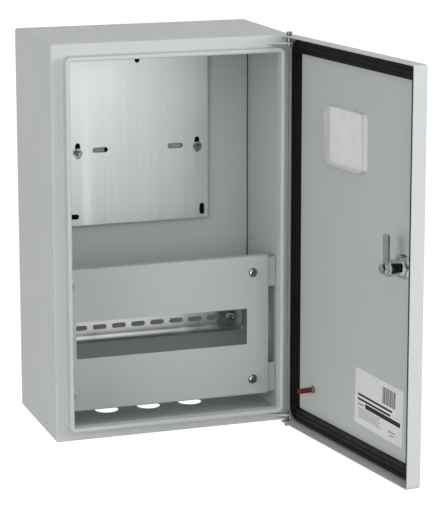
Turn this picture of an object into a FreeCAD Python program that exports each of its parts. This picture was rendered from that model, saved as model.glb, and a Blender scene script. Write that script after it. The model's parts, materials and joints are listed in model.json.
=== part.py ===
"""Wall-hung electric meter box of folded sheet steel with a hinged, gasketed door.

Millimetres. X is to the right seen from the front, Y points into the wall, Z is up.
The origin is the centre of the four wall holes, on the rear face of the back panel.
The door pieces are drawn closed and then turned to the open angle they are stored at.
"""
import os
from math import cos, pi, sin

import FreeCAD
import Part

V = FreeCAD.Vector

# Cabinet
body_w = 300.0
body_h = 480.0
body_d = 168.0
sheet = 1.2
corner_r = 3.0
bend_r = 2.4
rim_depth = 11.8
flange_w = 14.2
land_w = 5.2
lip_return = 13.0
lip_corner_r = 7.5
lip_bend_r = 1.8
lip_base_r = 3.4
back_bend_r = 2.0
back_corner_r = 2.4
back_flange_h = 10.0

# Wall holes in the back panel
wall_hole_d = 9.0
wall_hole_from_side = 35.0
wall_hole_from_end = 30.0

# Cable holes in the bottom
cable_hole_d = 30.0
cable_pitch = 55.0
cable_hole_from_front = 112.0

# Door
door_gap = 3.0
door_d = 18.5
door_open_deg = 97.8
hinge_return_d = 8.6
hinge_corner_cut = 3.2
gasket_from_side = 3.8
gasket_from_free_edge = 7.4
gasket_w = 16.2
gasket_t = 5.0
gasket_corner_r = 17.0
gasket_groove_w = 1.4
gasket_groove_d = 0.8
gasket_clear = 0.3

# Hinges
axis_from_side = 7.7
axis_from_flange = 9.5
pin_d = 4.0
pin_run = 0.05
pin_head_d = 7.4
pin_head_h = 4.5
pin_head_chamfer = 0.7
pin_tail = 3.5
pin_end_play = 0.2
bush_d = 5.2
ear_t = 2.0
ear_from_end = 8.2
ear_eye_r = 4.0
ear_root = 33.0
ear_root_step = 1.5
ear_waist = 1.6
ear_notch_clear = 1.0
ear_notch_depth = 7.5

# Galvanised meter panel
meter_w = 189.0
meter_h = 214.5
meter_from_top = 34.0
meter_stand = 6.8
meter_t = 1.2
meter_corner_r = 3.0
slot_w = 6.5
slot_row_from_top = 120.0
side_slot_x = 49.0
side_slot_len = 20.0
stud_slot_from_edge = 16.5
stud_slot_len = 20.0
top_hole_from_top = 9.4
low_slot_from_bottom = 11.3
low_slot_from_edge = 10.1
low_slot_len = 14.5

# Studs that hold the meter panel
stud_d = 5.0
stud_below_row = 2.5
stud_len = 18.0
stud_nut_af = 8.0
stud_nut_h = 4.7
stud_washer_d = 12.0
stud_washer_t = 1.2
nut_chamfer = 0.6

# Breaker cover and its brackets
cover_side_gap = 12.0
cover_h = 178.0
cover_from_bottom = 21.0
cover_front = 119.4
cover_return = 10.0
modules = 12
module_w = 17.5
cover_window_spare = 10.0
cover_window_h = 46.0
cover_window_r = 1.5
cover_screw_from_side = 20.5
cover_screw_from_edge = 20.5
cover_hole_d = 5.5
bracket_h = 37.0
bracket_edge = 2.4
bracket_past_screw = 12.7
bracket_depth = 28.0
bracket_t = 1.5
screw_d = 5.0
screw_len = 14.0
screw_head_d = 9.6
screw_head_h = 3.4
screw_washer_d = 11.5
screw_washer_t = 1.0
screw_head_chamfer = 1.3
recess_w = 1.2
recess_len = 5.4
recess_d = 1.8

# Rail
rail_end_gap = 13.0
rail_x = -1.5
rail_h = 35.0
rail_inner_h = 27.0
rail_d = 7.5
rail_t = 1.0
rail_bend_r = 0.8
rail_web_y = 60.5
rail_slot_pitch = 25.0
rail_slot_len = 18.0
rail_slot_w = 6.2
rail_foot = 20.0
rail_head = 26.0
rail_bracket_h = 30.0
rail_screw_len = 10.0
rail_screw_head_d = 9.0

# Window in the door
window_from_hinge_side = 128.6
window_from_top = 107.5
window_w = 91.6
window_h = 70.0
window_r = 10.0
window_wall = 1.6
window_pane_t = 1.8
window_rise = 6.4
window_frame = 5.0
window_frame_t = 1.5
window_fit = 0.3
window_chamfer = 0.8

# Lock
lock_from_free_edge = 41.5
lock_z = 7.5
lock_hole_d = 20.0
lock_body_d = 19.6
lock_head_d = 27.0
lock_head_t = 3.0
lock_head_chamfer = 1.0
lock_nut_af = 24.0
lock_nut_h = 5.0
lock_washer_d = 29.0
lock_washer_t = 1.0
rotor_d = 12.0
rotor_run = 0.05
cam_behind_flange = 0.5
cam_t = 3.0
cam_w = 10.5
cam_len = 39.0
cam_hub_d = 15.0
cam_square = 7.0
cam_washer_d = 13.0
cam_washer_t = 1.2
cam_bolt_af = 10.0
cam_bolt_h = 4.0
key_slot_w = 3.0
key_slot_len = 8.0
key_slot_d = 4.0

# Earth stud on the door
earth_from_hinge_side = 54.5
earth_from_bottom = 52.0
earth_d = 5.0
earth_len = 20.5
earth_foot_d = 9.0
earth_foot_t = 1.2
cap_d = 6.6
cap_start = 4.0
cap_end_t = 1.0
cap_chamfer = 0.8

# How far a cut runs past the face it opens, and how far a weld or a shank runs into its neighbour
over = 1.0
bite = 0.5
least_r = 0.4

# Planes and places that follow from the sizes above
rear_y = rim_depth
front_y = rear_y - body_d
wall_y = -sheet
door_edge_y = front_y - door_gap
door_skin_y = door_edge_y - door_d
door_inner_y = door_skin_y + sheet
lip_h = door_gap + door_d - sheet - gasket_t - gasket_clear
lip_y = front_y - lip_h
cover_y = rear_y - cover_front
meter_y = wall_y - meter_stand
web_y = rear_y - rail_web_y
axis_x = body_w / 2 - axis_from_side
axis_y = front_y - axis_from_flange
ear_z = body_h / 2 - ear_from_end - ear_t
lock_x = -body_w / 2 + lock_from_free_edge
cam_y = front_y + sheet + cam_behind_flange
meter_top = body_h / 2 - meter_from_top
meter_bottom = meter_top - meter_h
slot_row_z = meter_top - slot_row_from_top
stud_slot_x = meter_w / 2 - stud_slot_from_edge
stud_z = slot_row_z - stud_below_row
cover_w = body_w - 2 * cover_side_gap
cover_z = -body_h / 2 + cover_from_bottom + cover_h / 2
cover_window_w = modules * module_w + cover_window_spare
cover_screw_x = cover_w / 2 - cover_screw_from_side
cover_screw_dz = cover_h / 2 - cover_screw_from_edge
rail_len = cover_w - 2 * rail_end_gap
rail_slots = int(rail_len / rail_slot_pitch)
window_x = body_w / 2 - window_from_hinge_side
window_z = body_h / 2 - window_from_top
earth_x = body_w / 2 - earth_from_hinge_side
earth_z = -body_h / 2 + earth_from_bottom


def outline(cx, cz, w, h, r, y):
    """Face of a rectangle with round corners, in the plane y."""
    r = min(r, w / 2 - 0.001, h / 2 - 0.001)
    x0, x1, z0, z1 = cx - w / 2, cx + w / 2, cz - h / 2, cz + h / 2
    k = r * (1 - cos(pi / 4))
    line, arc = Part.LineSegment, Part.Arc
    parts = [
        line(V(x0 + r, y, z0), V(x1 - r, y, z0)),
        arc(V(x1 - r, y, z0), V(x1 - k, y, z0 + k), V(x1, y, z0 + r)),
        line(V(x1, y, z0 + r), V(x1, y, z1 - r)),
        arc(V(x1, y, z1 - r), V(x1 - k, y, z1 - k), V(x1 - r, y, z1)),
        line(V(x1 - r, y, z1), V(x0 + r, y, z1)),
        arc(V(x0 + r, y, z1), V(x0 + k, y, z1 - k), V(x0, y, z1 - r)),
        line(V(x0, y, z1 - r), V(x0, y, z0 + r)),
        arc(V(x0, y, z0 + r), V(x0 + k, y, z0 + k), V(x0 + r, y, z0)),
    ]
    return Part.Face(Part.Wire([p.toShape() for p in parts]))


def slab(cx, cz, w, h, r, y0, y1):
    """Plate or block between the planes y0 and y1."""
    return outline(cx, cz, w, h, r, y0).extrude(V(0, y1 - y0, 0))


def ring(w, h, r, band, y0, y1):
    """Frame of width band inside the outline w by h."""
    outer = slab(0, 0, w, h, r, y0, y1)
    inner = slab(0, 0, w - 2 * band, h - 2 * band, max(r - band, least_r), y0, y1)
    return outer.cut(inner)


def block(x0, x1, y0, y1, z0, z1):
    return Part.makeBox(x1 - x0, y1 - y0, z1 - z0, V(x0, y0, z0))


def rod_y(x, z, d, y0, y1):
    return Part.makeCylinder(d / 2, abs(y1 - y0), V(x, min(y0, y1), z), V(0, 1, 0))


def rod_z(x, y, d, z0, z1):
    return Part.makeCylinder(d / 2, abs(z1 - z0), V(x, y, min(z0, z1)), V(0, 0, 1))


def hexagon_y(x, z, af, y0, y1):
    """Hexagonal prism along Y, with its flats af apart."""
    rr = af / (2 * cos(pi / 6))
    pts = [V(x + rr * cos(pi * i / 3), y0, z + rr * sin(pi * i / 3)) for i in range(7)]
    return Part.Face(Part.makePolygon(pts)).extrude(V(0, y1 - y0, 0))


def on_plane(edge, y):
    """True for an edge that lies flat in the plane y."""
    box = edge.BoundBox
    return box.YLength < 0.01 and abs(box.Center.y - y) < 0.01


def closed_edges(shape, y):
    """The full circles of a turned piece in the plane y."""
    return [e for e in shape.Edges if e.Closed and on_plane(e, y)]


def fused(first, *others):
    return first.fuse(list(others)).removeSplitter()


def on_outline(edge, y, w, h, r):
    """True for an edge that lies in the plane y, on the outline w by h with corner radius r."""
    box = edge.BoundBox
    if abs(box.YMin - y) > 0.01 or abs(box.YMax - y) > 0.01:
        return False
    p = edge.valueAt((edge.FirstParameter + edge.LastParameter) / 2)
    dx = abs(p.x) - (w / 2 - r)
    dz = abs(p.z) - (h / 2 - r)
    if dx > 0 and dz > 0:
        reach = (dx * dx + dz * dz) ** 0.5
    else:
        reach = max(dx, dz)
    return abs(reach - r) < 0.01


def bend(shape, radius, y, w, h, r):
    """Rounds the fold that runs round the outline w by h in the plane y."""
    edges = [e for e in shape.Edges if on_outline(e, y, w, h, r)]
    return shape.makeFillet(radius, edges)


def pan(w, h, r, skin_y, edge_y, fold_r):
    """Sheet pan: a skin at skin_y with a return all round that reaches edge_y."""
    inward = sheet if edge_y > skin_y else -sheet
    skin = slab(0, 0, w, h, r, skin_y, skin_y + inward)
    sides = ring(w, h, r, sheet, skin_y, edge_y)
    shape = fused(skin, sides)
    shape = bend(shape, fold_r, skin_y, w, h, r)
    inner_r = r - sheet
    return bend(shape, fold_r - sheet, skin_y + inward, w - 2 * sheet, h - 2 * sheet, inner_r)


def cabinet_shell():
    """Wrap with the front flange and the lip, folded forward and back in, that keeps rain out."""
    lip_w = body_w - 2 * flange_w
    lip_hh = body_h - 2 * flange_w
    inside_w = body_w - 2 * sheet
    inside_h = body_h - 2 * sheet
    walls = ring(body_w, body_h, corner_r, sheet, front_y, rear_y)
    flange = slab(0, 0, body_w, body_h, corner_r, front_y, front_y + sheet)
    inner_w, inner_h = lip_w - 2 * sheet, lip_hh - 2 * sheet
    inner_r = lip_corner_r - sheet
    mouth = slab(0, 0, inner_w, inner_h, inner_r, lip_y - over, front_y + sheet + over)
    lip = ring(lip_w, lip_hh, lip_corner_r, sheet, lip_y, front_y + sheet)
    land = ring(lip_w, lip_hh, lip_corner_r, land_w, lip_y, lip_y + sheet)
    fold_in = land_w - sheet
    fold_w, fold_h = lip_w - 2 * fold_in, lip_hh - 2 * fold_in
    turned_in = ring(fold_w, fold_h, lip_corner_r - fold_in, sheet, lip_y, lip_y + lip_return)
    shape = fused(walls, flange.cut(mouth), lip, land, turned_in)
    shape = bend(shape, bend_r, front_y, body_w, body_h, corner_r)
    shape = bend(shape, bend_r - sheet, front_y + sheet, inside_w, inside_h, corner_r - sheet)
    shape = bend(shape, lip_bend_r, lip_y, lip_w, lip_hh, lip_corner_r)
    shape = bend(shape, lip_base_r, front_y, lip_w, lip_hh, lip_corner_r)
    shape = bend(shape, lip_base_r + sheet, front_y + sheet, inner_w, inner_h, inner_r)
    clear_w, clear_h = lip_w - 2 * land_w, lip_hh - 2 * land_w
    shape = bend(shape, lip_bend_r, lip_y, clear_w, clear_h, lip_corner_r - land_w)
    hole_y = front_y + cable_hole_from_front
    z0 = -body_h / 2 - over
    z1 = -body_h / 2 + sheet + over
    return shape.cut([rod_z(i * cable_pitch, hole_y, cable_hole_d, z0, z1) for i in (-1, 0, 1)])


def back_panel():
    """Back sheet with its flanges turned to the rear and welded to the wrap."""
    w = body_w - 2 * sheet
    h = body_h - 2 * sheet
    shape = pan(w, h, back_corner_r, wall_y, back_flange_h, back_bend_r)
    for sx in (-1, 1):
        for sz in (-1, 1):
            x = sx * (body_w / 2 - wall_hole_from_side)
            z = sz * (body_h / 2 - wall_hole_from_end)
            shape = shape.cut(rod_y(x, z, wall_hole_d, wall_y - over, over))
    return shape


def slot(cx, cz, length, width, y0, y1, upright=False):
    w, h = (width, length) if upright else (length, width)
    return slab(cx, cz, w, h, width / 2, y0, y1)


def meter_panel():
    """Galvanised plate with its two sides folded back onto the back panel."""
    mid_z = (meter_top + meter_bottom) / 2
    height = meter_top - meter_bottom
    x = meter_w / 2
    low_x = x - low_slot_from_edge
    low_z = meter_bottom + low_slot_from_bottom
    shape = block(-x, x, meter_y, wall_y, meter_bottom, meter_top)
    inner_x = x - meter_t
    z0, z1 = meter_bottom - over, meter_top + over
    shape = shape.cut(block(-inner_x, inner_x, meter_y + meter_t, over, z0, z1))
    shape = shape.makeFillet(2 * meter_t, [e for e in shape.Edges if fold_edge(e, x, meter_y)])
    shape = shape.makeFillet(meter_t, [e for e in shape.Edges if fold_edge(e, inner_x, meter_y + meter_t)])
    shape = shape.common(slab(0, mid_z, meter_w, height, meter_corner_r, meter_y, wall_y))
    y0, y1 = meter_y - over, meter_y + meter_t + over
    cuts = [
        slot(-side_slot_x, slot_row_z, side_slot_len, slot_w, y0, y1),
        slot(side_slot_x, slot_row_z, side_slot_len, slot_w, y0, y1),
        slot(-stud_slot_x, slot_row_z, stud_slot_len, slot_w, y0, y1, True),
        slot(stud_slot_x, slot_row_z, stud_slot_len, slot_w, y0, y1, True),
        slot(low_x, low_z, low_slot_len, slot_w, y0, y1, True),
        slot(-low_x, low_z, low_slot_len, slot_w, y0, y1),
        rod_y(0, meter_top - top_hole_from_top, slot_w, y0, y1),
    ]
    return shape.cut(cuts)


def fold_edge(edge, x, y):
    """True for an upright edge at plus or minus x in the plane y."""
    box = edge.BoundBox
    upright = box.ZLength > 1 and box.XLength < 0.01 and box.YLength < 0.01
    return upright and abs(abs(box.Center.x) - x) < 0.01 and abs(box.Center.y - y) < 0.01


def both_sides(make):
    """Compound of the same small part at the two studs."""
    return Part.makeCompound([make(-stud_slot_x), make(stud_slot_x)])


def meter_stud(x):
    return rod_y(x, stud_z, stud_d, wall_y - stud_len, wall_y)


def meter_stud_washer(x):
    disc = rod_y(x, stud_z, stud_washer_d, meter_y - stud_washer_t, meter_y)
    return disc.cut(rod_y(x, stud_z, stud_d, meter_y - stud_washer_t, meter_y))


def meter_stud_nut(x):
    y1 = meter_y - stud_washer_t
    return nut(x, stud_z, stud_nut_af, stud_d, y1 - stud_nut_h, y1)


def nut(x, z, af, hole_d, y0, y1):
    """Hexagon nut with chamfered corners on both faces."""
    body = hexagon_y(x, z, af, y0, y1)
    corner_d = af / cos(pi / 6)
    barrel = rod_y(x, z, corner_d, y0, y1)
    barrel = barrel.makeChamfer(nut_chamfer, [e for e in barrel.Edges if e.Closed])
    return body.common(barrel).cut(rod_y(x, z, hole_d, y0, y1))


def breaker_cover():
    """False panel with a cut-out for twelve modules and a return above and below."""
    y1 = cover_y + sheet
    top = cover_z + cover_h / 2
    low = cover_z - cover_h / 2
    half = cover_w / 2
    shape = block(-half, half, cover_y, cover_y + cover_return, low, top)
    return_end = cover_y + cover_return + over
    shape = shape.cut(block(-half - over, half + over, y1, return_end, low + sheet, top - sheet))
    shape = shape.makeFillet(2 * sheet, [e for e in shape.Edges if long_edge(e, cover_y, top, low)])
    shape = shape.makeFillet(sheet, [e for e in shape.Edges if long_edge(e, y1, top - sheet, low + sheet)])
    y0, y1 = cover_y - over, y1 + over
    window = slab(0, cover_z, cover_window_w, cover_window_h, cover_window_r, y0, y1)
    holes = [rod_y(x, z, cover_hole_d, y0, y1) for x, z in cover_screw_places()]
    return shape.cut([window] + holes)


def long_edge(edge, y, top, low):
    """True for a long level edge in the plane y at the height top or low."""
    box = edge.BoundBox
    level = min(abs(box.Center.z - top), abs(box.Center.z - low))
    return box.XLength > 50 and box.YLength < 0.01 and abs(box.Center.y - y) < 0.01 and level < 0.01


def cover_screw_places():
    xs = (-cover_screw_x, cover_screw_x)
    zs = (cover_z - cover_screw_dz, cover_z + cover_screw_dz)
    return [(x, z) for z in zs for x in xs]


def cover_bracket(side, level):
    """L-bracket welded to a side wall, its front leg behind the cover."""
    wall_x = body_w / 2 - sheet
    y0 = cover_y + sheet
    reach = wall_x - cover_screw_x + bracket_past_screw
    edge = cover_z + level * (cover_h / 2 - bracket_edge)
    z0, z1 = sorted((edge, edge - level * bracket_h))
    front = block(wall_x - reach, wall_x, y0, y0 + bracket_t, z0, z1)
    weld = block(wall_x - bracket_t, wall_x, y0, y0 + bracket_depth, z0, z1)
    shape = fused(front, weld)
    shape = shape.makeFillet(bracket_t, [e for e in shape.Edges if fold_edge(e, wall_x, y0)])
    z = cover_z + level * cover_screw_dz
    shape = shape.cut(rod_y(cover_screw_x, z, screw_d, y0 - over, y0 + bracket_t + over))
    if side < 0:
        shape = shape.mirror(V(0, 0, 0), V(1, 0, 0))
    return shape


def pan_screw(x, z, seat_y, length, head_d, washer=True):
    """Pan-head screw with a cross recess, its washer under the head."""
    head_y = seat_y
    parts = []
    if washer:
        parts.append(rod_y(x, z, screw_washer_d, seat_y - screw_washer_t, seat_y))
        head_y = seat_y - screw_washer_t
    head = rod_y(x, z, head_d, head_y - screw_head_h, head_y)
    head = head.makeChamfer(screw_head_chamfer, closed_edges(head, head_y - screw_head_h))
    shank = rod_y(x, z, screw_d, seat_y - bite, seat_y + length)
    shape = fused(head, shank, *parts)
    y0 = head_y - screw_head_h - over
    y1 = head_y - screw_head_h + recess_d
    across = block(x - recess_len / 2, x + recess_len / 2, y0, y1, z - recess_w / 2, z + recess_w / 2)
    upright = block(x - recess_w / 2, x + recess_w / 2, y0, y1, z - recess_len / 2, z + recess_len / 2)
    return shape.cut([across, upright])


def cover_screws():
    screws = [pan_screw(x, z, cover_y, screw_len, screw_head_d) for x, z in cover_screw_places()]
    return Part.makeCompound(screws)


def din_rail():
    """Top-hat rail: slotted web behind, one brim above and one below."""
    y_web = web_y
    y_brim = web_y - rail_d
    z_in, z_out = rail_inner_h / 2, rail_h / 2
    pts = [
        (y_web + rail_t, -z_in),
        (y_web + rail_t, z_in),
        (y_brim + rail_t, z_in),
        (y_brim + rail_t, z_out),
        (y_brim, z_out),
        (y_brim, z_in - rail_t),
        (y_web, z_in - rail_t),
        (y_web, -z_in + rail_t),
        (y_brim, -z_in + rail_t),
        (y_brim, -z_out),
        (y_brim + rail_t, -z_out),
        (y_brim + rail_t, -z_in),
    ]
    x0 = rail_x - rail_len / 2
    loop = [V(x0, y, cover_z + z) for y, z in pts]
    shape = Part.Face(Part.makePolygon(loop + loop[:1])).extrude(V(rail_len, 0, 0))
    web = [e for e in shape.Edges if long_edge(e, y_web + rail_t, cover_z + z_in, cover_z - z_in)]
    z_fold = z_in - rail_t
    brim = [e for e in shape.Edges if long_edge(e, y_brim, cover_z + z_fold, cover_z - z_fold)]
    shape = shape.makeFillet(rail_bend_r, web + brim)
    y0, y1 = y_web - over, y_web + rail_t + over
    middle = (rail_slots - 1) / 2
    places = [rail_x + (i - middle) * rail_slot_pitch for i in range(rail_slots)]
    return shape.cut([slot(x, cover_z, rail_slot_len, rail_slot_w, y0, y1) for x in places])


def rail_fix_x(side):
    """Where the rail is screwed down: its end slots."""
    return rail_x + side * (rail_slots - 1) / 2 * rail_slot_pitch


def rail_bracket(side):
    """Z-bracket from the back panel to the rail's web."""
    x = rail_fix_x(side)
    top_y = web_y + rail_t
    half_h = rail_bracket_h / 2
    inner = x - side * rail_head / 2
    outer = x + side * rail_head / 2
    foot_end = outer + side * rail_foot
    z0, z1 = cover_z - half_h, cover_z + half_h
    hx0, hx1 = sorted((inner, outer))
    fx0, fx1 = sorted((outer - side * bracket_t, foot_end))
    lx0, lx1 = sorted((outer - side * bracket_t, outer))
    head = block(hx0, hx1, top_y, top_y + bracket_t, z0, z1)
    leg = block(lx0, lx1, top_y, wall_y, z0, z1)
    foot = block(fx0, fx1, wall_y - bracket_t, wall_y, z0, z1)
    shape = fused(head, leg, foot)
    shape = shape.makeFillet(bracket_t, [e for e in shape.Edges if fold_edge(e, abs(outer), top_y)])
    return shape.cut(rod_y(x, cover_z, screw_d, top_y - over, top_y + bracket_t + over))


def rail_screws():
    places = [rail_fix_x(-1), rail_fix_x(1)]
    screws = [pan_screw(x, cover_z, web_y, rail_screw_len, rail_screw_head_d) for x in places]
    return Part.makeCompound(screws)


def hinge_ear(level):
    """Flat ear welded on the front flange, round about the pin."""
    z = ear_z if level > 0 else -ear_z - ear_t
    side = body_w / 2
    eye = rod_z(axis_x, axis_y, 2 * ear_eye_r, z, z + ear_t)
    pts = [
        V(side - ear_root, front_y, z),
        V(side - ear_root + ear_root_step, front_y - ear_root_step, z),
        V(axis_x - ear_waist, axis_y - (ear_eye_r ** 2 - ear_waist ** 2) ** 0.5, z),
        V(axis_x, axis_y, z),
        V(axis_x + ear_eye_r, axis_y, z),
        V(axis_x + ear_eye_r, front_y, z),
        V(side - ear_root, front_y, z),
    ]
    blade = Part.Face(Part.makePolygon(pts)).extrude(V(0, 0, ear_t))
    return fused(blade, eye).cut(rod_z(axis_x, axis_y, pin_d, z - over, z + ear_t + over))


def flipped(shape, level):
    """The lower hinge pieces are the upper ones mirrored in the middle plane."""
    if level < 0:
        return shape.mirror(V(0, 0, 0), V(0, 0, 1))
    return shape


def hinge_pin(level):
    top = body_h / 2 + pin_end_play
    shank = rod_z(axis_x, axis_y, pin_d, ear_z - pin_tail, top)
    head = rod_z(axis_x, axis_y, pin_head_d, top, top + pin_head_h)
    head = head.makeChamfer(pin_head_chamfer, [e for e in head.Edges if e.Closed])
    return flipped(fused(shank, head), level)


def hinge_bush(level):
    z0 = ear_z + ear_t
    z1 = body_h / 2 - sheet - pin_end_play
    tube = rod_z(axis_x, axis_y, bush_d, z0, z1)
    return flipped(tube.cut(rod_z(axis_x, axis_y, pin_d, z0, z1)), level)


def door_shell():
    """Door pan: window cut-out, lock hole, low return on the hinge side, notched at the ears."""
    shape = pan(body_w, body_h, corner_r, door_skin_y, door_edge_y, bend_r)
    opening_w = window_w + 2 * window_fit
    opening_h = window_h + 2 * window_fit
    y0, y1 = door_skin_y - over, door_inner_y + over
    cuts = [
        slab(window_x, window_z, opening_w, opening_h, window_r + window_fit, y0, y1),
        rod_y(lock_x, lock_z, lock_hole_d, y0, y1),
    ]
    x0, x1 = body_w / 2 - 2 * sheet, body_w / 2 + over
    notch_z = ear_z - ear_notch_clear
    end_y = door_edge_y + over
    end_z = body_h / 2 + over
    cuts.append(block(x0, x1, door_skin_y + hinge_return_d, end_y, -notch_z, notch_z))
    cuts.append(block(x0, x1, door_edge_y - hinge_corner_cut, end_y, -end_z, end_z))
    for level in (-1, 1):
        ends = sorted((level * (body_h / 2 - sheet - over), level * (body_h / 2 + over)))
        cuts.append(rod_z(axis_x, axis_y, pin_d + 2 * pin_run, *ends))
        z0, z1 = sorted((level * notch_z, level * (body_h / 2 - sheet)))
        cuts.append(block(x0, x1, axis_y - ear_notch_depth, end_y, z0, z1))
    return shape.cut(cuts)


def door_gasket():
    """Ribbed rubber frame stuck on the door opposite the lip."""
    w = body_w - gasket_from_side - gasket_from_free_edge
    h = body_h - 2 * gasket_from_side
    y0, y1 = door_inner_y, door_inner_y + gasket_t
    shape = ring(w, h, gasket_corner_r, gasket_w, y0, y1)
    rib = (gasket_w - 2 * gasket_groove_w) / 3
    for i in (1, 2):
        inset = i * rib + (i - 1) * gasket_groove_w
        groove_w, groove_h = w - 2 * inset, h - 2 * inset
        groove_r = gasket_corner_r - inset
        bottom_y = y1 - gasket_groove_d
        shape = shape.cut(ring(groove_w, groove_h, groove_r, gasket_groove_w, bottom_y, y1 + over))
    return shape.translated(V((gasket_from_free_edge - gasket_from_side) / 2, 0, 0))


def window():
    """Clear window: a frame outside, walls through the door and a pane at their inner end."""
    y_in = door_inner_y + window_rise
    walls = slab(window_x, window_z, window_w, window_h, window_r, door_skin_y, y_in)
    hollow = slab(
        window_x,
        window_z,
        window_w - 2 * window_wall,
        window_h - 2 * window_wall,
        window_r - window_wall,
        door_skin_y - window_frame_t,
        y_in - window_pane_t,
    )
    wide = window_w + 2 * window_frame
    high = window_h + 2 * window_frame
    y_out = door_skin_y - window_frame_t
    frame = slab(window_x, window_z, wide, high, window_r + window_frame, y_out, door_skin_y)
    shape = fused(walls, frame).cut(hollow)
    edges = [e for e in shape.Edges if on_plane(e, y_in)]
    return shape.makeChamfer(window_chamfer, edges)


def lock_housing():
    """Lock body: head outside the door, barrel through it, bore for the rotor."""
    head = rod_y(lock_x, lock_z, lock_head_d, door_skin_y - lock_head_t, door_skin_y)
    head = head.makeChamfer(lock_head_chamfer, closed_edges(head, door_skin_y - lock_head_t))
    barrel = rod_y(lock_x, lock_z, lock_body_d, door_skin_y - bite, cam_y)
    shape = fused(head, barrel)
    bore = rod_y(lock_x, lock_z, rotor_d + 2 * rotor_run, door_skin_y - lock_head_t - over, cam_y + over)
    return shape.cut(bore)


def lock_washer():
    y0, y1 = door_inner_y, door_inner_y + lock_washer_t
    disc = rod_y(lock_x, lock_z, lock_washer_d, y0, y1)
    return disc.cut(rod_y(lock_x, lock_z, lock_body_d, y0, y1))


def lock_nut():
    y0 = door_inner_y + lock_washer_t
    return nut(lock_x, lock_z, lock_nut_af, lock_body_d, y0, y0 + lock_nut_h)


def square_y(y0, y1):
    """Square drive between rotor and arm."""
    half = cam_square / 2
    return block(lock_x - half, lock_x + half, y0, y1, lock_z - half, lock_z + half)


def lock_rotor():
    """Turning core: key slot in front, square end for the arm behind."""
    core = rod_y(lock_x, lock_z, rotor_d, door_skin_y - lock_head_t, cam_y)
    square = square_y(cam_y - over, cam_y + cam_t)
    y0 = door_skin_y - lock_head_t
    key = block(
        lock_x - key_slot_w / 2,
        lock_x + key_slot_w / 2,
        y0 - over,
        y0 + key_slot_d,
        lock_z - key_slot_len / 2,
        lock_z + key_slot_len / 2,
    )
    return fused(core, square).cut(key)


def cam_arm():
    """Flat arm that swings behind the front flange."""
    hub = rod_y(lock_x, lock_z, cam_hub_d, cam_y, cam_y + cam_t)
    blade = slab(lock_x, lock_z + cam_len / 2, cam_w, cam_len, 2.0, cam_y, cam_y + cam_t)
    hole = square_y(cam_y - over, cam_y + cam_t + over)
    return fused(hub, blade).cut(hole)


def cam_bolt():
    y0 = cam_y + cam_t
    y1 = y0 + cam_washer_t
    washer = rod_y(lock_x, lock_z, cam_washer_d, y0, y1)
    return fused(washer, hexagon_y(lock_x, lock_z, cam_bolt_af, y1, y1 + cam_bolt_h))


def earth_stud():
    y0 = door_inner_y
    foot = rod_y(earth_x, earth_z, earth_foot_d, y0, y0 + earth_foot_t)
    return fused(foot, rod_y(earth_x, earth_z, earth_d, y0, y0 + earth_len))


def earth_stud_cap():
    y0 = door_inner_y + cap_start
    y1 = door_inner_y + earth_len
    sleeve = rod_y(earth_x, earth_z, cap_d, y0, y1 + cap_end_t)
    sleeve = sleeve.makeChamfer(cap_chamfer, closed_edges(sleeve, y1 + cap_end_t))
    return sleeve.cut(rod_y(earth_x, earth_z, earth_d, y0, y1))


def opened(shape):
    """Turns a door piece from closed to the stored open angle."""
    turned = shape.copy()
    turned.rotate(V(axis_x, axis_y, 0), V(0, 0, 1), door_open_deg)
    return turned


def cabinet_pieces():
    pieces = {
        "cabinet_shell": cabinet_shell(),
        "back_panel": back_panel(),
        "meter_panel": meter_panel(),
        "meter_studs": both_sides(meter_stud),
        "meter_stud_washers": both_sides(meter_stud_washer),
        "meter_stud_nuts": both_sides(meter_stud_nut),
        "breaker_cover": breaker_cover(),
        "cover_screws": cover_screws(),
        "din_rail": din_rail(),
        "rail_screws": rail_screws(),
    }
    for level, level_name in ((1, "upper"), (-1, "lower")):
        pieces["hinge_ear_" + level_name] = hinge_ear(level)
        pieces["hinge_pin_" + level_name] = hinge_pin(level)
        pieces["hinge_bush_" + level_name] = hinge_bush(level)
        for side, side_name in ((-1, "left"), (1, "right")):
            pieces["cover_bracket_" + level_name + "_" + side_name] = cover_bracket(side, level)
    for side, side_name in ((-1, "left"), (1, "right")):
        pieces["rail_bracket_" + side_name] = rail_bracket(side)
    return pieces


def door_pieces():
    pieces = {
        "door_shell": door_shell(),
        "door_gasket": door_gasket(),
        "window": window(),
        "lock_housing": lock_housing(),
        "lock_washer": lock_washer(),
        "lock_nut": lock_nut(),
        "lock_rotor": lock_rotor(),
        "cam_arm": cam_arm(),
        "cam_bolt": cam_bolt(),
        "earth_stud": earth_stud(),
        "earth_stud_cap": earth_stud_cap(),
    }
    return {name: opened(shape) for name, shape in pieces.items()}


def main():
    os.makedirs("parts", exist_ok=True)
    pieces = {**cabinet_pieces(), **door_pieces()}
    for name, shape in pieces.items():
        if not shape.isValid():
            print("not valid:", name)
        shape.exportStep("parts/" + name + ".step")
    print(len(pieces), "nodes")


main()
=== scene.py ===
"""Looks of the electric meter box: finishes, three small added pieces, stage, light and camera.

Metres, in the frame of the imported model: +X right seen from the front, +Y into the wall, +Z up.
The model is stored with its door open, as in the photograph, and hangs free above a pale floor.
"""
import json
from itertools import product
from math import cos, pi, radians, sin

import bmesh
import bpy
from mathutils import Matrix, Vector

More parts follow.
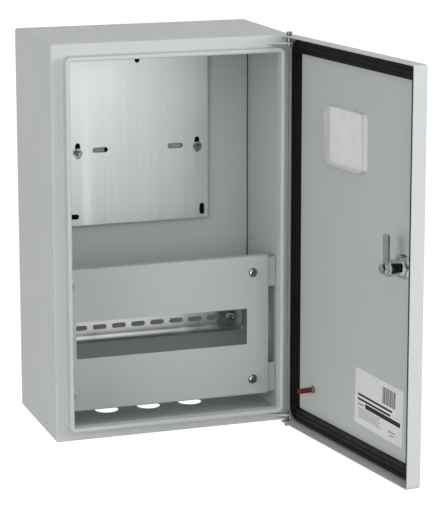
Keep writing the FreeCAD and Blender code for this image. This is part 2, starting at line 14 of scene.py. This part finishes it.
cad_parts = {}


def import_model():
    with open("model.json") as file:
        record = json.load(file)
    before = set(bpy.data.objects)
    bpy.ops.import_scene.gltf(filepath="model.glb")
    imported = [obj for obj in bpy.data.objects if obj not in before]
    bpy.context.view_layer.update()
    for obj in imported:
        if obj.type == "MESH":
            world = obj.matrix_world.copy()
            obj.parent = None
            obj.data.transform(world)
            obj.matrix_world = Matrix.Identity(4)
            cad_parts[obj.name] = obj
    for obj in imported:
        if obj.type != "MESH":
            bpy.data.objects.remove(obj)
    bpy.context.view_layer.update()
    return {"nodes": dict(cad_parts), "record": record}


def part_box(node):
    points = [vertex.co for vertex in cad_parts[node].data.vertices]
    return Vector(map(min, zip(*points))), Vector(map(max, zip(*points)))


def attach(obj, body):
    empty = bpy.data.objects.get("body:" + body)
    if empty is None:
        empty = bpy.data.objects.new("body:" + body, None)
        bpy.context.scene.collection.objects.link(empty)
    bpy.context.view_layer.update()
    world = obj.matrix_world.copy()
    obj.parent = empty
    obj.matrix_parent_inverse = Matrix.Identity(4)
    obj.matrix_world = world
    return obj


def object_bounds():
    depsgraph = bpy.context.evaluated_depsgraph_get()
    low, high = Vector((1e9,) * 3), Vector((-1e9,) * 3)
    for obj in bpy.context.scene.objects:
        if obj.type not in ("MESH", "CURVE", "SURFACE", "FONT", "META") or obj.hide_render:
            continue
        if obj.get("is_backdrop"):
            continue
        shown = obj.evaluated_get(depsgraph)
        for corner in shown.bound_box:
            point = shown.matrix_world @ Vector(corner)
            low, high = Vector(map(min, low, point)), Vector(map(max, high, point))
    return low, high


MM = 0.001
WHITE = (1.0, 1.0, 1.0, 1.0)

# Camera, fitted to the photograph's edges, holes and slots
PHOTO_W, PHOTO_H = 444, 514
FOCAL_PX = 2209.9
CENTRE_PX = (226.1, 216.0)
CAMERA_PLACE = (-0.7920, -2.6214, 0.5637)
CAMERA_YAW = radians(-19.18)
CAMERA_PITCH = radians(11.70)
SENSOR = 36.0

# Floor: how far it lies under the box, its side, its finish, and the glow that lets it show white
FLOOR_DROP = 1.2
FLOOR_SIZE = 30.0
FLOOR_GREY = 0.55
FLOOR_ROUGHNESS = 0.9
FLOOR_LIFT = 0.85

# Light all round: its strength from below and from above, how far from the level each is reached in a
# direction of length 1, and its strength where it is seen
SKY_BELOW = 0.9
SKY_ABOVE = 0.35
SKY_BAND = 0.5
SKY_SEEN = 1.0

# Lamps: diameter in metres, and the place and power in watts of each
LAMP_SIZE = 1.8
LAMPS = {
    "right": ((2.1, -2.0, 0.7), 37.0),
    "left": ((-2.5, -1.7, 0.4), 21.0),
    "front": ((0.2, -3.0, 0.6), 10.0),
    "high_front": ((0.0, -2.2, 1.9), 11.0),
}

# Label inside the door, in millimetres: x and z with the door closed
LABEL_CENTRE_X = -57.5
LABEL_CENTRE_Z = -169.5
LABEL_W = 107.0
LABEL_H = 67.0
LABEL_T = 0.15
LABEL_CORNER_R = 2.0
LABEL_CORNER_STEPS = 6
LABEL_TILT = radians(2.0)

# Print on the label: how far it reaches into the paper and stands above it, in millimetres, and the inks'
# numbers among the label's materials
INK_T = 0.03
BLACK, GREY = 1, 2

# Row of bars, in millimetres from the label's low corner near the door's free edge
BARS = 13
BARS_X, BARS_Z = 17.0, 41.0
BAR_H = 20.0
BAR_W, BAR_W_STEP = 0.7, 0.6
BAR_GAP, BAR_GAP_STEP = 0.8, 0.4

# Printed lines, from the same corner: x, z, width, height and ink
HEAD_LINES = (
    (23.0, 35.0, 77.0, 2.6, BLACK),
    (27.0, 29.5, 73.0, 2.6, BLACK),
    (5.0, 22.5, 78.0, 5.6, BLACK),
    (86.0, 24.0, 13.0, 1.6, GREY),
)
FOOT_LINES = (
    (16.0, 11.0, 14.0, 1.4, GREY),
    (18.0, 7.0, 10.0, 1.2, GREY),
)

# Block of small lines, every second one indented
SMALL_LINES = 5
SMALL_X, SMALL_Z = 48.0, 19.5
SMALL_W, SMALL_H = 50.0, 0.8
SMALL_PITCH = 2.6
SMALL_INDENT = 4.0

# Painted shade: a dark strip where the back panel meets the wrap, standing in for the shadow in the seam's
# gap; in millimetres
SEAM_W = 1.5
SEAM_T = 0.12

# Painted shade: black discs on the back panel, behind the meter panel's holes, that make the holes look
# dark: x, z and radius in millimetres
SHADE_PLUGS = (
    (0.8, 196.0, 8.0),
    (-82.5, 2.2, 8.0),
    (84.0, 2.2, 8.0),
    (-78.0, 94.0, 6.0),
    (78.0, 94.0, 6.0),
    (-36.5, 85.0, 5.5),
)
PLUG_H = 1.6
PLUG_SIDES = 40

# A plug's dome from its foot to its top: shares of the radius and of the height
PLUG_PROFILE = ((1.0, 0.0), (1.0, 0.4), (0.93, 0.75), (0.6, 0.93), (0.2, 1.0))

# Painted highlights on the meter panel, standing in for its bright reflections: middle and reach of each, in
# metres
PAINTED_HIGHLIGHTS = (
    ((-0.05, 0.0, 0.18), (0.28, 1.0, 0.26)),
    ((0.09, 0.0, 0.11), (0.1, 1.0, 0.24)),
    ((-0.066, 0.0, 0.1), (0.009, 1.0, 0.4)),
)

# Pitch of the studs' thread in millimetres, and how high its ridges stand as a bump
THREAD_PITCH = 0.8
THREAD_H = 0.3

# Most values of a noise texture lie between these
NOISE_LOW, NOISE_HIGH = 0.3, 0.7

# Length of a wave in the wave texture at scale 1
WAVE_LENGTH = pi / 10

# Numbers of the Mix node's sockets for colours
MIX_FACTOR, MIX_FIRST, MIX_SECOND, MIX_RESULT = 0, 6, 7, 2


def srgb(red, green, blue):
    """Linear colour of a screen colour given from 0 to 255."""
    def linear(value):
        value /= 255
        if value <= 0.04045:
            return value / 12.92
        return ((value + 0.055) / 1.055) ** 2.4
    return (linear(red), linear(green), linear(blue), 1.0)


class Nodes:
    """Short calls that add nodes to a node tree."""

    def __init__(self, tree):
        self.tree = tree

    def node(self, kind, inputs=None, **settings):
        """Adds a node. An input is a plain value or another node's output."""
        made = self.tree.nodes.new("ShaderNode" + kind)
        for key, value in settings.items():
            setattr(made, key, value)
        for key, value in (inputs or {}).items():
            self.feed(made.inputs[key], value)
        return made

    def feed(self, socket, value):
        """Links an output to a socket, or sets the socket's value."""
        if isinstance(value, bpy.types.NodeSocket):
            self.tree.links.new(value, socket)
        else:
            socket.default_value = value

    def ranged(self, value, start, end, low, high):
        """Number that runs from low to high as the value goes from start to end."""
        inputs = {"Value": value, "From Min": start, "From Max": end, "To Min": low, "To Max": high}
        return self.node("MapRange", inputs).outputs["Result"]

    def math(self, operation, first, second):
        """Result of a Math node on two numbers."""
        return self.node("Math", {0: first, 1: second}, operation=operation).outputs[0]

    def seen_ray(self):
        """1 for rays that show the background: from the camera, in a mirror or through glass."""
        path = self.node("LightPath").outputs
        seen = self.math("MAXIMUM", path["Is Camera Ray"], path["Is Glossy Ray"])
        return self.math("MAXIMUM", seen, path["Is Transmission Ray"])


class Shader(Nodes):
    """A material with a Principled shader, whose constants are set by name."""

    def __init__(self, name, **constants):
        self.material = bpy.data.materials.new(name)
        self.material.use_nodes = True
        super().__init__(self.material.node_tree)
        self.principled = self.tree.nodes["Principled BSDF"]
        self.use(**constants)
        self.coords = self.node("TexCoord").outputs["Object"]

    def use(self, **values):
        """Feeds the Principled shader's sockets and returns the material."""
        for socket, value in values.items():
            self.feed(self.principled.inputs[socket.replace("_", " ")], value)
        return self.material

    def noise(self, scale, detail=2.0, roughness=0.5, vector=None):
        """Noise, with its scale in waves per metre."""
        inputs = {"Vector": vector or self.coords, "Scale": scale, "Detail": detail, "Roughness": roughness}
        return self.node("TexNoise", inputs).outputs["Fac"]

    def streaks(self, scales, detail, roughness):
        """Noise with its own scale along x, y and z, for streaks and drawn lines."""
        stretched = self.node("Mapping", {"Vector": self.coords, "Scale": scales}).outputs["Vector"]
        return self.noise(1.0, detail, roughness, stretched)

    def highlight_patch(self, middle, reach):
        """1 in the middle of a soft round patch, 0 at its reach: the shape of a painted highlight."""
        scale = [1.0 / r for r in reach]
        shift = [-m / r for m, r in zip(middle, reach)]
        place = self.node("Mapping", {"Vector": self.coords, "Scale": scale, "Location": shift})
        inputs = {"Vector": place.outputs["Vector"]}
        return self.node("TexGradient", inputs, gradient_type="SPHERICAL").outputs["Fac"]

    def ridges(self, pitch, axis):
        """Waves of the given pitch that follow each other along an axis."""
        inputs = {"Vector": self.coords, "Scale": WAVE_LENGTH / pitch}
        return self.node("TexWave", inputs, bands_direction=axis).outputs["Fac"]

    def between(self, noise, low, high):
        """Number that runs from low to high with a noise."""
        return self.ranged(noise, NOISE_LOW, NOISE_HIGH, low, high)

    def mixed(self, factor, first, second):
        """The first colour at factor 0, the second at 1."""
        inputs = {MIX_FACTOR: factor, MIX_FIRST: first, MIX_SECOND: second}
        return self.node("Mix", inputs, data_type="RGBA").outputs[MIX_RESULT]

    def tones(self, noise, dark, light):
        """Colour that runs from dark to light with a noise."""
        return self.mixed(self.between(noise, 0.0, 1.0), dark, light)

    def veiled(self, colour, noise, most, veil):
        """A colour under a veil of another one, which covers it with a noise by the given share at most."""
        return self.mixed(self.between(noise, 0.0, most), colour, veil)

    def bumped(self, height, distance, strength, normal=None):
        """Normal with a bump of the given height in metres, on top of an earlier bump where there is one."""
        inputs = {"Height": height, "Distance": distance, "Strength": strength}
        if normal is not None:
            inputs["Normal"] = normal
        return self.node("Bump", inputs).outputs["Normal"]


def grey_paint():
    """Light grey powder coat: satin, with a fine orange peel and a faint unevenness."""
    s = Shader("grey_powder_coat", IOR=1.5, Specular_IOR_Level=0.3)
    uneven = s.noise(scale=7.0, detail=3.0)
    waves = s.noise(scale=190.0)
    peel = s.noise(scale=900.0, detail=3.0, roughness=0.55)
    patches = s.noise(scale=60.0, detail=4.0)
    colour = s.tones(uneven, dark=srgb(202, 207, 204), light=srgb(207, 211, 208))
    normal = s.bumped(waves, distance=0.12 * MM, strength=0.35)
    normal = s.bumped(peel, distance=0.06 * MM, strength=0.5, normal=normal)
    return s.use(Base_Color=colour, Roughness=s.between(patches, 0.46, 0.54), Normal=normal)


def galvanised():
    """Bright galvanised sheet, nearly without spangle: broad upright streaks, soft rolling streaks, and
    painted highlights in broad upright patches where its reflections are bright.
    """
    s = Shader("galvanised_sheet", Metallic=0.9)
    broad = s.streaks((17.0, 17.0, 3.2), detail=1.5, roughness=0.4)
    rolled = s.streaks((120.0, 120.0, 2.0), detail=4.0, roughness=0.55)
    hairs = s.streaks((900.0, 900.0, 9.0), detail=3.0, roughness=0.6)
    cloudy = s.noise(scale=16.0, detail=5.0, roughness=0.55)
    fine = s.noise(scale=240.0, detail=3.0)
    tone = s.tones(broad, dark=srgb(144, 154, 157), light=srgb(174, 182, 184))
    # Painted highlights: lighter patches mixed into the tone, standing in for the sheet's reflections
    for middle, reach in PAINTED_HIGHLIGHTS:
        tone = s.mixed(s.highlight_patch(middle, reach), tone, srgb(210, 213, 209))
    tone = s.veiled(tone, cloudy, most=0.25, veil=srgb(205, 210, 209))
    tone = s.veiled(tone, rolled, most=0.16, veil=srgb(234, 237, 235))
    tone = s.veiled(tone, fine, most=0.1, veil=srgb(160, 168, 170))
    rough = s.math("ADD", s.between(cloudy, 0.27, 0.34), s.between(hairs, 0.0, 0.05))
    normal = s.bumped(rolled, distance=0.02 * MM, strength=0.2)
    normal = s.bumped(hairs, distance=0.01 * MM, strength=0.2, normal=normal)
    return s.use(Base_Color=tone, Roughness=rough, Normal=normal)


def rail_zinc():
    """Bright zinc-plated rail: neutral, drawn lengthwise, so its folds show crisp lines."""
    s = Shader("rail_zinc", Metallic=1.0)
    drawn = s.streaks((6.0, 500.0, 900.0), detail=3.0, roughness=0.6)
    stain = s.noise(scale=35.0, detail=4.0, roughness=0.6)
    tone = s.tones(stain, dark=srgb(172, 175, 173), light=srgb(203, 205, 202))
    tone = s.veiled(tone, drawn, most=0.25, veil=srgb(140, 141, 138))
    normal = s.bumped(drawn, distance=0.02 * MM, strength=0.3)
    return s.use(Base_Color=tone, Roughness=s.between(stain, 0.16, 0.24), Normal=normal)


def zinc_plate(name, dark, light, thread_axis=None):
    """Zinc-plated steel, with a thread's ridges along an axis where one is given."""
    s = Shader(name, Metallic=1.0)
    stain = s.noise(scale=220.0, detail=4.0)
    marks = s.noise(scale=700.0, detail=3.0)
    normal = s.bumped(stain, distance=0.02 * MM, strength=0.3)
    if thread_axis:
        ridges = s.ridges(THREAD_PITCH * MM, thread_axis)
        normal = s.bumped(ridges, distance=THREAD_H * MM, strength=0.9, normal=normal)
    colour = s.tones(stain, dark, light)
    return s.use(Base_Color=colour, Roughness=s.between(marks, 0.08, 0.17), Normal=normal)


def lock_plate():
    """Bright nickel plate with light handling marks."""
    s = Shader("lock_bright_plate", Metallic=1.0)
    marks = s.noise(scale=420.0, detail=5.0, roughness=0.65)
    waves = s.noise(scale=160.0)
    colour = s.tones(marks, dark=srgb(186, 189, 192), light=srgb(214, 215, 216))
    normal = s.bumped(waves, distance=0.02 * MM, strength=0.35)
    return s.use(Base_Color=colour, Roughness=s.between(marks, 0.05, 0.13), Normal=normal)


def arm_zinc():
    """Grey zinc plate of the cam's flat arm, blanked from strip."""
    s = Shader("arm_zinc", Metallic=0.85)
    rolled = s.streaks((700.0, 700.0, 25.0), detail=3.0, roughness=0.6)
    stain = s.noise(scale=150.0, detail=4.0)
    colour = s.tones(stain, dark=srgb(166, 171, 172), light=srgb(188, 191, 190))
    normal = s.bumped(rolled, distance=0.02 * MM, strength=0.4)
    return s.use(Base_Color=colour, Roughness=s.between(rolled, 0.3, 0.42), Normal=normal)


def black_rubber():
    """Foamed black seal: a slight skin gloss over fine pores."""
    s = Shader("black_seal_rubber", IOR=1.48, Specular_IOR_Level=0.15)
    pores = s.noise(scale=1600.0, detail=4.0, roughness=0.6)
    blotches = s.noise(scale=35.0, detail=4.0)
    skin = s.noise(scale=90.0, detail=3.0)
    colour = s.tones(blotches, dark=srgb(10, 11, 10), light=srgb(20, 21, 19))
    normal = s.bumped(pores, distance=0.05 * MM, strength=0.5)
    return s.use(Base_Color=colour, Roughness=s.between(skin, 0.42, 0.6), Normal=normal)


def clear_plastic():
    """Window of slightly milky clear plastic with fine moulding ripples and light handling haze."""
    s = Shader("window_clear_plastic", IOR=1.2, Transmission_Weight=0.56)
    haze = s.noise(scale=60.0, detail=4.0)
    ripples = s.noise(scale=45.0)
    marks = s.noise(scale=300.0, detail=3.0)
    tint = s.tones(haze, dark=srgb(223, 224, 222), light=srgb(230, 231, 229))
    normal = s.bumped(ripples, distance=0.2 * MM, strength=0.15)
    return s.use(Base_Color=tint, Roughness=s.between(marks, 0.05, 0.12), Normal=normal)


def red_plastic():
    """Dark red soft cap."""
    s = Shader("red_soft_plastic", IOR=1.46, Specular_IOR_Level=0.35)
    mottle = s.noise(scale=300.0, detail=3.0)
    colour = s.tones(mottle, dark=srgb(82, 26, 12), light=srgb(112, 37, 14))
    normal = s.bumped(mottle, distance=0.05 * MM, strength=0.4)
    return s.use(Base_Color=colour, Roughness=s.between(mottle, 0.35, 0.5), Normal=normal)


def label_paper():
    """White coated paper with a fine fibre."""
    s = Shader("label_paper", IOR=1.45)
    fibre = s.noise(scale=1200.0, detail=4.0)
    colour = s.tones(fibre, dark=srgb(238, 239, 241), light=srgb(246, 247, 248))
    normal = s.bumped(fibre, distance=0.03 * MM, strength=0.3)
    return s.use(Base_Color=colour, Roughness=s.between(fibre, 0.42, 0.55), Normal=normal)


def label_ink(name, dark, light):
    """Printed ink that thins out a little, as a thermal printer leaves it."""
    s = Shader(name, IOR=1.45, Specular_IOR_Level=0.2)
    thin = s.noise(scale=2200.0, detail=3.0)
    return s.use(Base_Color=s.tones(thin, dark, light), Roughness=s.between(thin, 0.4, 0.6))


def seam_shade_paint():
    """Painted shade for the seam: a dull dark grey that stands in for the shadow in the gap, its tone
    varying with a noise.
    """
    s = Shader("seam_painted_shade", IOR=1.45, Specular_IOR_Level=0.2)
    blotches = s.noise(scale=300.0, detail=4.0, roughness=0.6)
    colour = s.tones(blotches, dark=srgb(58, 61, 59), light=srgb(92, 96, 93))
    normal = s.bumped(blotches, distance=0.05 * MM, strength=0.4)
    return s.use(Base_Color=colour, Roughness=s.between(blotches, 0.7, 0.85), Normal=normal)


def plug_shade_paint():
    """Matt black painted shade with a fine grain."""
    s = Shader("plug_painted_shade", IOR=1.46, Specular_IOR_Level=0.12)
    grain = s.noise(scale=900.0, detail=3.0, roughness=0.6)
    colour = s.tones(grain, dark=srgb(9, 10, 10), light=srgb(20, 21, 21))
    normal = s.bumped(grain, distance=0.04 * MM, strength=0.4)
    return s.use(Base_Color=colour, Roughness=s.between(grain, 0.6, 0.75), Normal=normal)


def pale_floor():
    """Pale floor that shows white to the camera and keeps a soft shadow."""
    grey = (FLOOR_GREY, FLOOR_GREY, FLOOR_GREY, 1.0)
    s = Shader("pale_floor", Base_Color=grey, Roughness=FLOOR_ROUGHNESS, Emission_Color=WHITE)
    return s.use(Emission_Strength=s.math("MULTIPLY", s.seen_ray(), FLOOR_LIFT))


def finish_nodes():
    """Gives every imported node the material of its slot, and a few of them one of their own."""
    by_slot = {
        "grey_paint": grey_paint(),
        "galvanised": galvanised(),
        "zinc_hardware": zinc_plate("zinc_plate", srgb(128, 131, 132), srgb(190, 190, 186)),
        "lock_chrome": lock_plate(),
        "gasket_rubber": black_rubber(),
        "window_plastic": clear_plastic(),
        "red_plastic": red_plastic(),
    }
    # Painted shade: a darker copy of the zinc plate for the studs' nuts and the hinge pins and bushes
    shaded_zinc = zinc_plate("zinc_plate_painted_shade", srgb(84, 87, 88), srgb(140, 141, 138))
    threaded = zinc_plate("zinc_plate_threaded", srgb(110, 113, 114), srgb(170, 170, 166), thread_axis="Y")
    special = {
        "meter_studs": threaded,
        "meter_stud_nuts": shaded_zinc,
        "hinge_pin_upper": shaded_zinc,
        "hinge_pin_lower": shaded_zinc,
        "hinge_bush_upper": shaded_zinc,
        "hinge_bush_lower": shaded_zinc,
        "din_rail": rail_zinc(),
        "cam_arm": arm_zinc(),
    }
    for part in frame["record"]["subparts"]:
        name = part["node"]
        for slot in frame["nodes"][name].material_slots:
            slot.material = special.get(name, by_slot[part["material_slot"]])


def door_matrix():
    """Takes a point of the closed door to where the open door is stored."""
    joint = next(j for j in frame["record"]["behaviour"]["joints"] if j["name"] == "door_hinge")
    closed_angle = joint["range_deg"][0]
    axis_point = Matrix.Translation(Vector(joint["pos_m"]))
    turn = Matrix.Rotation(-radians(closed_angle), 4, Vector(joint["axis"]))
    return axis_point @ turn @ axis_point.inverted()


def door_inner_y():
    """Plane of the closed door's inner face: the seal's glued side."""
    back = door_matrix().inverted()
    return min((back @ v.co).y for v in frame["nodes"]["door_gasket"].data.vertices)


def placed(name, data):
    """New object in the scene, from the data of a mesh, a lamp or a camera."""
    made = bpy.data.objects.new(name, data)
    bpy.context.scene.collection.objects.link(made)
    return made


def mesh_of(bm, name, *materials):
    """Mesh of closed shells, with its faces turned outwards."""
    bmesh.ops.recalc_face_normals(bm, faces=bm.faces)
    mesh = bpy.data.meshes.new(name)
    bm.to_mesh(mesh)
    bm.free()
    for material in materials:
        mesh.materials.append(material)
    return mesh


def plate(bm, low, high, material=0):
    """Adds a thin box between two corners, with the number of its material."""
    corners = [bm.verts.new(corner) for corner in product(*zip(low, high))]
    sides = ((0, 1, 3, 2), (4, 6, 7, 5), (0, 4, 5, 1), (2, 3, 7, 6), (0, 2, 6, 4), (1, 5, 7, 3))
    for side in sides:
        face = bm.faces.new([corners[i] for i in side])
        face.material_index = material


def stack(bm, rings):
    """Adds a closed solid: sides from each ring of points to the next, and a face at both ends."""
    rings = [[bm.verts.new(point) for point in ring] for ring in rings]
    for lower, upper in zip(rings, rings[1:]):
        for i in range(len(lower)):
            j = (i + 1) % len(lower)
            bm.faces.new((lower[i], lower[j], upper[j], upper[i]))
    bm.faces.new(rings[0])
    bm.faces.new(rings[-1])


def label_sheet(bm):
    """Paper with rounded corners, from the door's face to a little proud of it."""
    w, h, t, radius = LABEL_W * MM / 2, LABEL_H * MM / 2, LABEL_T * MM, LABEL_CORNER_R * MM
    rim = []
    for corner in range(4):
        centre_x = (w - radius) * (1 if corner in (0, 3) else -1)
        centre_z = (h - radius) * (1 if corner in (0, 1) else -1)
        for i in range(LABEL_CORNER_STEPS + 1):
            angle = pi / 2 * (corner + i / LABEL_CORNER_STEPS)
            rim.append((centre_x + radius * cos(angle), centre_z + radius * sin(angle)))
    stack(bm, [[(x, y, z) for x, z in rim] for y in (0.0, t)])


def label_marks():
    """Rectangles of plain print: x, z, width, height and ink."""
    marks = []
    x = BARS_X
    for i in range(BARS):
        wide = BAR_W + BAR_W_STEP * (2 * i % 3)
        marks.append((x, BARS_Z, wide, BAR_H, BLACK))
        x += wide + BAR_GAP + BAR_GAP_STEP * (i % 2)
    marks += HEAD_LINES
    for i in range(SMALL_LINES):
        indent = SMALL_INDENT * (i % 2)
        marks.append((SMALL_X + indent, SMALL_Z - SMALL_PITCH * i, SMALL_W - indent, SMALL_H, GREY))
    marks += FOOT_LINES
    return marks


def door_label():
    """Bare paper label with plain bars and lines, stuck on the door's inner face."""
    bm = bmesh.new()
    label_sheet(bm)
    y0 = LABEL_T * MM - INK_T * MM
    y1 = LABEL_T * MM + INK_T * MM
    for x, z, wide, high, ink in label_marks():
        x0 = (x - LABEL_W / 2) * MM
        z0 = (z - LABEL_H / 2) * MM
        plate(bm, (x0, y0, z0), (x0 + wide * MM, y1, z0 + high * MM), ink)
    black = label_ink("label_black_ink", srgb(12, 12, 14), srgb(30, 30, 32))
    grey = label_ink("label_grey_ink", srgb(120, 121, 124), srgb(150, 151, 154))
    mesh = mesh_of(bm, "door_label", label_paper(), black, grey)
    tilt = Matrix.Rotation(-LABEL_TILT, 4, "Y")
    place = Matrix.Translation((LABEL_CENTRE_X * MM, door_inner_y(), LABEL_CENTRE_Z * MM))
    mesh.transform(door_matrix() @ place @ tilt)
    label = placed("door_label", mesh)
    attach(label, "door")


def rear_seam_painted_shade():
    """Painted shade: a dark strip in the corner all round the back panel, standing in for the shadow where
    it is set into the wrap.
    """
    low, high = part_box("back_panel")
    y0 = low.y - SEAM_T * MM
    w = SEAM_W * MM
    bm = bmesh.new()
    for x in (low.x, high.x - w):
        plate(bm, (x, y0, low.z), (x + w, low.y, high.z))
    for z in (low.z, high.z - w):
        plate(bm, (low.x + w, y0, z), (high.x - w, low.y, z + w))
    seam = placed("rear_seam_painted_shade", mesh_of(bm, "rear_seam_painted_shade", seam_shade_paint()))
    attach(seam, "cabinet")


def domed_disc(bm, x, y, z, radius, height):
    """Low dome with a rounded edge that stands on a wall at y and looks towards the door."""
    angles = [2 * pi * i / PLUG_SIDES for i in range(PLUG_SIDES)]
    rings = []
    for radius_share, height_share in PLUG_PROFILE:
        r = radius * radius_share
        ring_y = y - height * height_share
        rings.append([(x + r * cos(a), ring_y, z + r * sin(a)) for a in angles])
    stack(bm, rings)


def hole_shade_plugs():
    """Black domed discs on the back panel: painted shade that shows through the meter panel's holes and
    makes them look dark.
    """
    wall_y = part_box("back_panel")[0].y
    bm = bmesh.new()
    for x, z, radius in SHADE_PLUGS:
        domed_disc(bm, x * MM, wall_y, z * MM, radius * MM, PLUG_H * MM)
    plugs = placed("hole_shade_plugs", mesh_of(bm, "hole_shade_plugs", plug_shade_paint()))
    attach(plugs, "cabinet")


def stage():
    """Pale floor far below the hanging box."""
    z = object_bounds()[0].z - FLOOR_DROP
    half = FLOOR_SIZE / 2
    corners = [(-half, -half, z), (half, -half, z), (half, half, z), (-half, half, z)]
    mesh = bpy.data.meshes.new("floor")
    mesh.from_pydata(corners, [], [(0, 1, 2, 3)])
    mesh.materials.append(pale_floor())
    floor = placed("floor", mesh)
    floor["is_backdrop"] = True


def world():
    """Soft light all round, stronger from below, and even white where it is seen."""
    made = bpy.data.worlds.new("studio")
    bpy.context.scene.world = made
    made.use_nodes = True
    n = Nodes(made.node_tree)
    direction = n.node("TexCoord").outputs["Generated"]
    height = n.node("SeparateXYZ", {"Vector": direction}).outputs["Z"]
    soft = n.ranged(height, -SKY_BAND, SKY_BAND, SKY_BELOW, SKY_ABOVE)
    background = n.tree.nodes["Background"]
    n.feed(background.inputs["Color"], WHITE)
    n.feed(background.inputs["Strength"], n.ranged(n.seen_ray(), 0.0, 1.0, soft, SKY_SEEN))


def lamps():
    """Large soft disc lamps that look at the middle of the box."""
    low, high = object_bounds()
    middle = (low + high) / 2
    for name, (place, power) in LAMPS.items():
        data = bpy.data.lights.new(name, "AREA")
        data.shape = "DISK"
        data.size = LAMP_SIZE
        data.energy = power
        lamp = placed(name, data)
        lamp.location = place
        lamp.rotation_euler = (middle - Vector(place)).to_track_quat("-Z", "Y").to_euler()


def camera():
    """Camera that shows the box as in the photograph."""
    data = bpy.data.cameras.new("camera")
    data.sensor_width = SENSOR
    data.lens = FOCAL_PX * SENSOR / PHOTO_H
    data.shift_x = (PHOTO_W / 2 - CENTRE_PX[0]) / PHOTO_H
    data.shift_y = (CENTRE_PX[1] - PHOTO_H / 2) / PHOTO_H
    made = placed("camera", data)
    made.location = CAMERA_PLACE
    made.rotation_euler = (pi / 2 - CAMERA_PITCH, 0.0, CAMERA_YAW)
    bpy.context.scene.camera = made


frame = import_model()
bpy.context.scene.view_settings.view_transform = "Standard"
finish_nodes()
door_label()
rear_seam_painted_shade()
hole_shade_plugs()
stage()
world()
lamps()
camera()
